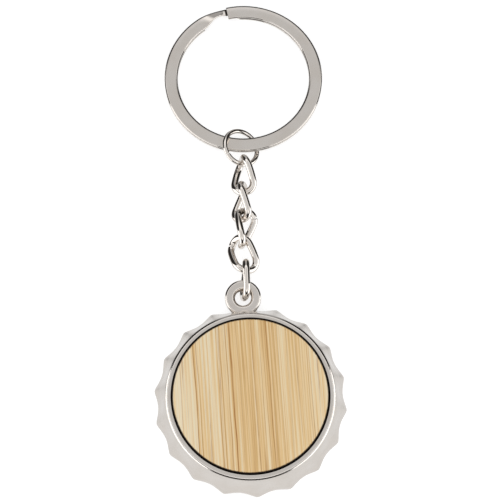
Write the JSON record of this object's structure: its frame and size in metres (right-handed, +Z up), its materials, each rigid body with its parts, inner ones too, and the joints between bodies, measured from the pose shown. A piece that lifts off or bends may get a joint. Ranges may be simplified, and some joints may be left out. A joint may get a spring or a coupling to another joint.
{
  "type": "keychain bottle opener",
  "caption": "Metal bottle opener shaped like a crown cap with a round bamboo inlay, on a twisted-link chain with a jump ring and a flat split ring.",
  "frame": {"origin": "on the table, under the middle of the keychain's bounding box as it lies stretched out", "axes": "+Z up, out of the bamboo face; +Y along the chain, from the opener's disc to the split ring; +X across"},
  "size_m": [0.037, 0.101, 0.0068],
  "materials": {
    "body_metal": "cast zinc alloy, nickel plated, satin bright",
    "bamboo": "sanded and oiled bamboo, laser-cut dark edge",
    "adhesive": "double-sided adhesive film",
    "chain_metal": "steel wire, nickel plated, bright",
    "ring_metal": "flat spring steel, nickel plated, bright with a rolled face"
  },
  "bodies": {
    "opener": {"opener_body": "body_metal", "adhesive_pad": "adhesive", "bamboo_disc": "bamboo"},
    "link_5": {"chain_link_5": "chain_metal"},
    "link_4": {"chain_link_4": "chain_metal"},
    "link_3": {"chain_link_3": "chain_metal"},
    "link_2": {"chain_link_2": "chain_metal"},
    "link_1": {"chain_link_1": "chain_metal"},
    "jump_ring": {"jump_ring": "chain_metal"},
    "split_ring": {"split_ring": "ring_metal"}
  },
  "joints": [
    {"name": "link_5_swing", "type": "hinge", "parent": "opener", "child": "link_5", "pos_m": [-0.00146, -0.00949, 0.00275], "axis": [1, 0, 0], "range_deg": [-75, 25]},
    {"name": "link_4_swing", "type": "hinge", "parent": "link_5", "child": "link_4", "pos_m": [-0.00088, -0.00479, 0.00271], "axis": [-0.0243, 0.0532, 0.9983], "range_deg": [-32, 80]},
    {"name": "link_3_swing", "type": "hinge", "parent": "link_4", "child": "link_3", "pos_m": [-0.00212, 0.00043, 0.00225], "axis": [0.7849, -0.0665, 0.6161], "range_deg": [-70, 10]},
    {"name": "link_2_swing", "type": "hinge", "parent": "link_3", "child": "link_2", "pos_m": [-0.00221, 0.00513, 0.00342], "axis": [-0.4484, -0.6815, 0.5783], "range_deg": [-22, 70]},
    {"name": "link_1_swing", "type": "hinge", "parent": "link_2", "child": "link_1", "pos_m": [-0.00158, 0.01122, 0.00297], "axis": [-0.3277, -0.0546, 0.9432], "range_deg": [-80, 55]},
    {"name": "jump_ring_swing", "type": "hinge", "parent": "link_1", "child": "jump_ring", "pos_m": [-0.00151, 0.01687, 0.00254], "axis": [-0.1385, -0.0221, -0.9901], "range_deg": [-75, 75]},
    {"name": "split_ring_turn", "type": "hinge", "parent": "jump_ring", "child": "split_ring", "pos_m": [-0.00145, 0.0198, 0.0019], "axis": [0, -1, 0], "range_deg": [0, 90]}
  ]
}
